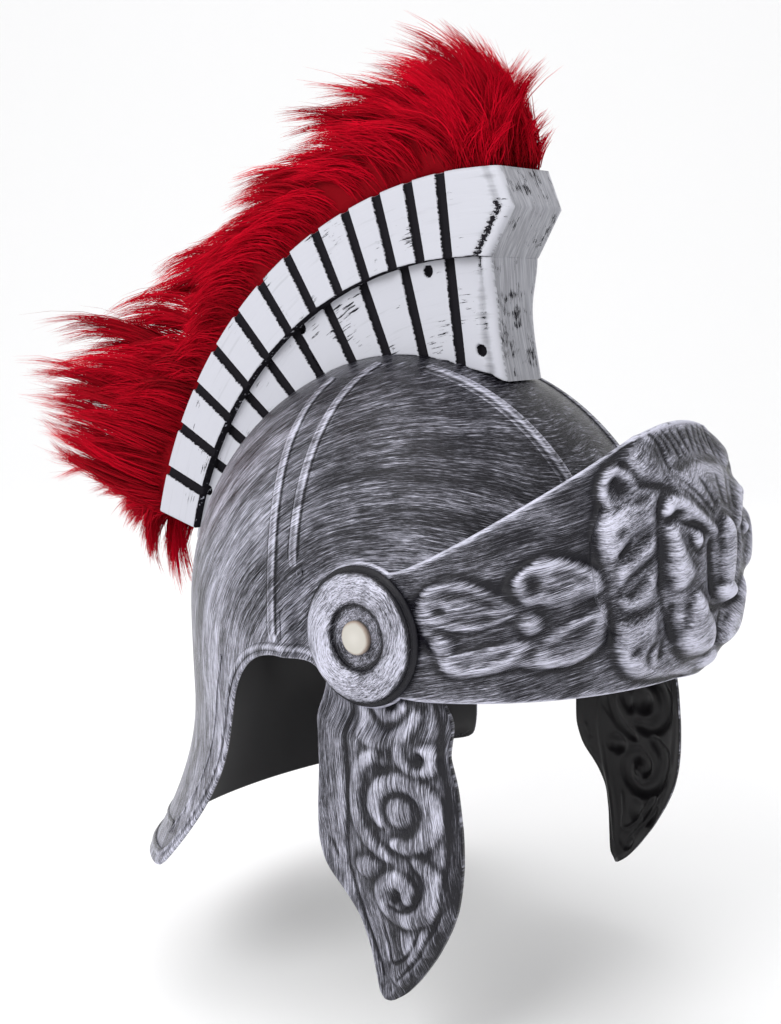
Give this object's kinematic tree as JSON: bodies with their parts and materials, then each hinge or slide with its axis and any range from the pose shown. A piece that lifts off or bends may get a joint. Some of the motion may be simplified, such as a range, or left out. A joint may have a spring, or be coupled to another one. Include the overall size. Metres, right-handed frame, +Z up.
{
  "type": "roman legionary helmet",
  "caption": "Open-faced parade helmet with a curved neck guard, a tilting masked visor, hinged cheek guards and a tall plumed crest.",
  "frame": {"origin": "inside of the crown, where the helmet sits on top of the head", "axes": "+Z up, -Y ahead of the wearer, +X to the wearer's left"},
  "size_m": [0.225, 0.451, 0.4035],
  "materials": {
    "brushed_silver": "black plastic dry-brushed with silver, half gloss",
    "crest_silver": "bright silver paint with dark slots, half gloss",
    "rivet_cream": "warm grey moulded plastic, half matte",
    "plume_fur": "crimson fake fur, matte"
  },
  "bodies": {
    "helmet": {"skull": "brushed_silver", "crest_holder": "crest_silver", "plume": "plume_fur", "temple_disc_right": "brushed_silver", "temple_disc_left": "brushed_silver", "rivet_right": "rivet_cream", "rivet_left": "rivet_cream"},
    "visor": {"visor": "brushed_silver"},
    "cheek_guard_right": {"cheek_guard_right": "brushed_silver"},
    "cheek_guard_left": {"cheek_guard_left": "brushed_silver"}
  },
  "joints": [
    {"name": "visor_hinge", "type": "hinge", "parent": "helmet", "child": "visor", "pos_m": [0, -0.041, -0.1038], "axis": [-1, 0, 0], "range_deg": [-5, 35]},
    {"name": "cheek_right_hinge", "type": "hinge", "parent": "helmet", "child": "cheek_guard_right", "pos_m": [-0.09, -0.041, -0.1038], "axis": [-1, 0, 0], "range_deg": [-20, 6]},
    {"name": "cheek_left_hinge", "type": "hinge", "parent": "helmet", "child": "cheek_guard_left", "pos_m": [0.09, -0.041, -0.1038], "axis": [-1, 0, 0], "range_deg": [-20, 6]}
  ]
}
